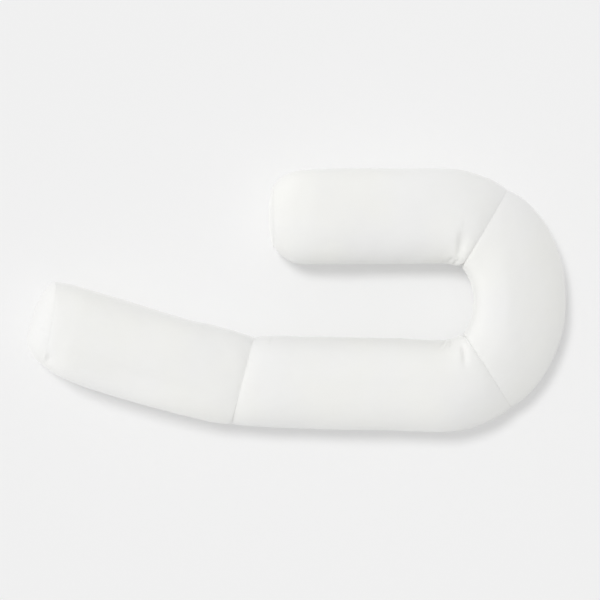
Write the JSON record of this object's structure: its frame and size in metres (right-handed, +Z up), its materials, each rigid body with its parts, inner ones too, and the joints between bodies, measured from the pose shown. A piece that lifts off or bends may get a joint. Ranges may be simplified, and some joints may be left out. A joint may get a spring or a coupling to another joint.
{
  "type": "body pillow",
  "caption": "Long stuffed body pillow in a J: a short arm, a half-round bend, a long arm and a turned-up tail, with sewn-in end panels.",
  "frame": {"origin": "centre of the pillow's box, at the surface it lies on", "axes": "+X along the two arms towards the bend, +Y from the long arm to the short arm, +Z up"},
  "size_m": [1.402, 0.6886, 0.1906],
  "materials": {
    "cotton_cover": "matte white woven cotton"
  },
  "bodies": {
    "root": {"short_arm": "cotton_cover", "bend": "cotton_cover", "long_arm": "cotton_cover", "tail": "cotton_cover", "end_panel_short": "cotton_cover", "end_panel_tail": "cotton_cover"}
  },
  "joints": []
}
